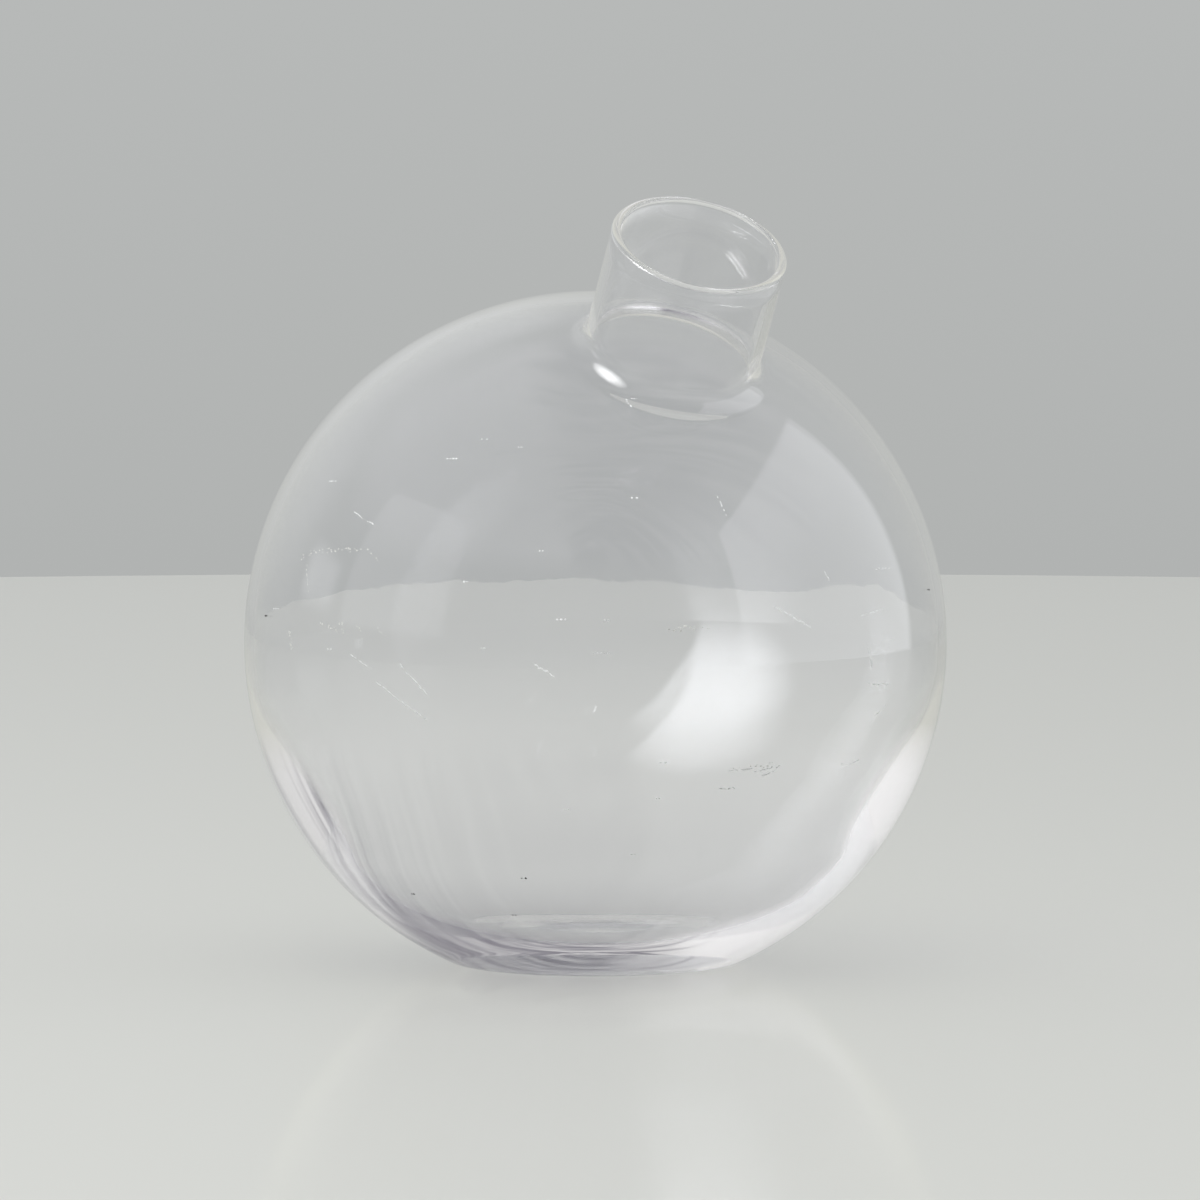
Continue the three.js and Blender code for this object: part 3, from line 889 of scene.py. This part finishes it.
def panel(turn, left, right, bottom, top, soft):
    """A soft-edged rectangle on a wall that faces the vase, in units of the wall's distance."""
    normal = direction(turn, 0)
    side = Vector((0, 0, 1)).cross(normal)
    into = add(sky, VECTOR_MATH, {0: look, 1: normal}, operation="DOT_PRODUCT")["Value"]
    into = add(sky, MATH, {0: into, 1: LEAST_FACING}, operation="MAXIMUM")[0]
    covered = None
    for axis, low, high in ((side, left, right), (Vector((0, 0, 1)), bottom, top)):
        along = add(sky, VECTOR_MATH, {0: look, 1: axis}, operation="DOT_PRODUCT")["Value"]
        place = add(sky, MATH, {0: along, 1: into}, operation="DIVIDE")[0]
        off_middle = add(sky, MATH, {0: place, 1: (low + high) / 2}, operation="SUBTRACT")[0]
        away = add(sky, MATH, {0: off_middle}, operation="ABSOLUTE")[0]
        half = (high - low) / 2
        share = add(
            sky, MAP_RANGE,
            {"Value": away, "From Min": half - soft, "From Max": half, "To Min": 1.0, "To Max": 0.0},
            interpolation_type="SMOOTHSTEP",
        )["Result"]
        covered = share if covered is None else add(
            sky, MATH, {0: covered, 1: share}, operation="MULTIPLY",
        )[0]
    return covered


def total(parts):
    """The sum of soft lights, each given as (share, strength)."""
    result = None
    for share, strength in parts:
        part = add(sky, MATH, {0: share, 1: strength}, operation="MULTIPLY")[0]
        result = part if result is None else add(sky, MATH, {0: result, 1: part})[0]
    return result


# %% The window that the far wall mirrors, with one crisp side
EDGE_TOP = direction(turn=-18, elevation=44)
EDGE_FOOT = direction(turn=-33, elevation=6)
IN_WINDOW = direction(turn=-42, elevation=20)
window_side = EDGE_TOP.cross(EDGE_FOOT).normalized()
if window_side.dot(IN_WINDOW) < 0:
    window_side.negate()
inside_window = add(sky, VECTOR_MATH, {0: look, 1: window_side}, operation="DOT_PRODUCT")["Value"]
crisp_side = add(
    sky, MAP_RANGE, {"Value": inside_window, "From Min": -0.02, "From Max": 0.05},
    interpolation_type="SMOOTHSTEP",
)["Result"]
window_glow = glow(turn=-43, elevation=26, core=2, edge=36)
window = add(sky, MATH, {0: window_glow, 1: crisp_side}, operation="MULTIPLY")[0]
print("the window's crisp side faces", [round(v, 2) for v in window_side])

# %% The lights that the near wall mirrors
ROOM_LIGHTS = {  # turn, left, right, bottom, top and softness, then strength
    "front window": ((-66, -0.55, 0.28, 0.05, 0.85, 0.05), 0.35),
    "big panel": ((95, -1.04, 0.65, -1.0, 1.07, 0.06), 0.75),
    "behind": ((-150, -0.8, 0.8, -0.1, 1.3, 0.5), 0.2),
    "side card": ((-108, -0.2, 0.2, 0.06, 0.34, 0.1), 0.6),
}
lights_all = total([(panel(*shape), strength) for shape, strength in ROOM_LIGHTS.values()])
print(len(ROOM_LIGHTS), "lights in the room")

# %% Which rays see which lights
CROSSED = 3.5  # a ray that passed more surfaces than this has crossed the hollow
WINDOW_STRENGTH = 5.0
in_glass = add(sky, MATH, {0: path["Is Glossy Ray"], 1: path["Is Transmission Ray"]}, operation="MAXIMUM")[0]
crossed = add(sky, MATH, {0: path["Transmission Depth"], 1: CROSSED}, operation="GREATER_THAN")[0]
not_crossed = add(sky, MATH, {0: 1.0, 1: crossed}, operation="SUBTRACT")[0]
in_front = add(sky, MATH, {0: in_glass, 1: not_crossed}, operation="MULTIPLY")[0]
room_lights = add(sky, MATH, {0: in_front, 1: lights_all}, operation="MULTIPLY")[0]
bounced = add(sky, MATH, {0: path["Glossy Depth"], 1: MIRRORED_ONCE}, operation="GREATER_THAN")[0]
by_back = add(sky, MATH, {0: crossed, 1: bounced}, operation="MULTIPLY")[0]
back_window = add(sky, MATH, {0: by_back, 1: window}, operation="MULTIPLY")[0]
back_window = add(sky, MATH, {0: back_window, 1: WINDOW_STRENGTH}, operation="MULTIPLY")[0]
soft_lights = add(sky, MATH, {0: room_lights, 1: back_window})[0]
print("lights sorted by ray:", len(sky.nodes), "nodes")

# %% The wall, and light that was trapped in the glass
WALL_LOW, WALL_HIGH = -0.077, -0.037  # the look's height at the floor's edge and at the picture's top
STREAKS_UP_HIGH = 2.0
height = add(sky, "ShaderNodeSeparateXYZ", {"Vector": look})["Z"]
rise_share = add(sky, MAP_RANGE, {"Value": height, "From Min": WALL_LOW, "From Max": WALL_HIGH})["Result"]
wall_colour = add(
    sky, MIX, {0: rise_share, FIRST_COLOUR: linear("b1b3b2"), SECOND_COLOUR: linear("b7b9b8")},
    data_type="RGBA",
)[MIXED_COLOUR]
seen = add(sky, MATH, {0: path["Is Camera Ray"], 1: path["Is Glossy Ray"]}, operation="MAXIMUM")[0]
seen = add(sky, MATH, {0: seen, 1: path["Is Transmission Ray"]}, operation="MAXIMUM")[0]
wall = add(sky, "ShaderNodeBackground", {"Color": wall_colour, "Strength": 1.0})[0]
lights = add(sky, "ShaderNodeBackground", {"Color": linear("fbfcff"), "Strength": soft_lights})[0]
room = add(sky, "ShaderNodeAddShader", {0: wall, 1: lights})[0]
long_way = add(sky, MATH, {0: path["Glossy Depth"], 1: TRAPPED}, operation="GREATER_THAN")[0]
gathered = wandered(sky, look, STREAKS_UP_HIGH, camera_up, "d4d5cd", "c2c3bf")
spread_light = add(sky, "ShaderNodeBackground", {"Color": gathered, "Strength": 1.0})[0]
room = add(sky, "ShaderNodeMixShader", {0: long_way, 1: room, 2: spread_light})[0]
fill = add(sky, "ShaderNodeBackground", {"Color": linear("f4f6f8"), "Strength": 0.75})[0]
both = add(sky, "ShaderNodeMixShader", {0: seen, 1: fill, 2: room})[0]
add(sky, "ShaderNodeOutputWorld", {"Surface": both})
print("the whole world:", len(sky.nodes), "nodes")


# %% [markdown]
# ## Lamps
#
# One large lamp overhead lights the table and leaves a soft shadow. The bright spot at the root of the neck
# needs a source that is close, because the fillet is so small that it mirrors a far lamp as a speck. Four
# flat lamps of falling size lie in one place, so that the spot fades at its edge. They light gloss only.


# %% Lamps
def softbox(name, turn, elevation, away, width, height, brightness):
    """A soft rectangular lamp that faces the globe. Its brightness is its own radiance."""
    towards = direction(turn, elevation)
    data = bpy.data.lights.new(name, "AREA")
    data.shape = "RECTANGLE"
    data.size = width
    data.size_y = height
    data.energy = brightness * math.pi * width * height
    lamp = bpy.data.objects.new(name, data)
    bpy.context.collection.objects.link(lamp)
    lamp.location = globe_centre + away * towards
    lamp.rotation_euler = (-towards).to_track_quat("-Z", "Y").to_euler()
    lamp.visible_camera = False
    lamp.visible_glossy = False
    lamp.visible_transmission = False
    print(f"{name}: {data.energy:.2f} W")
    return lamp


softbox("overhead", turn=-35, elevation=62, away=1.6, width=1.4, height=1.2, brightness=2.78)

# %% The spot at the root of the neck
GLINT_AWAY = 28 * MM
GLINT_WIDTH, GLINT_HEIGHT = 46 * MM, 26 * MM
GLINT_SIZES = (1.4, 1.15, 0.9, 0.65)
GLINT_BRIGHTNESS = 1.1
GLINT_SPREAD = math.radians(52)
glint_place = globe_centre + in_view(right=4.7 * MM, up=47.0 * MM, towards=37.9 * MM)
glint_way = in_view(right=-0.78, up=0.414, towards=0.469).normalized()
for share in GLINT_SIZES:
    width, height = GLINT_WIDTH * share, GLINT_HEIGHT * share
    glint = softbox("neck_glint", 0, 0, GLINT_AWAY, width, height, GLINT_BRIGHTNESS)
    glint.data.shape = "ELLIPSE"
    glint.data.spread = GLINT_SPREAD
    glint.location = glint_place + GLINT_AWAY * glint_way
    glint.rotation_euler = glint_way.to_track_quat("Z", "Y").to_euler()
    glint.visible_glossy = True
    glint.visible_diffuse = False

# %% Picture settings
bpy.context.scene.view_settings.view_transform = "Standard"
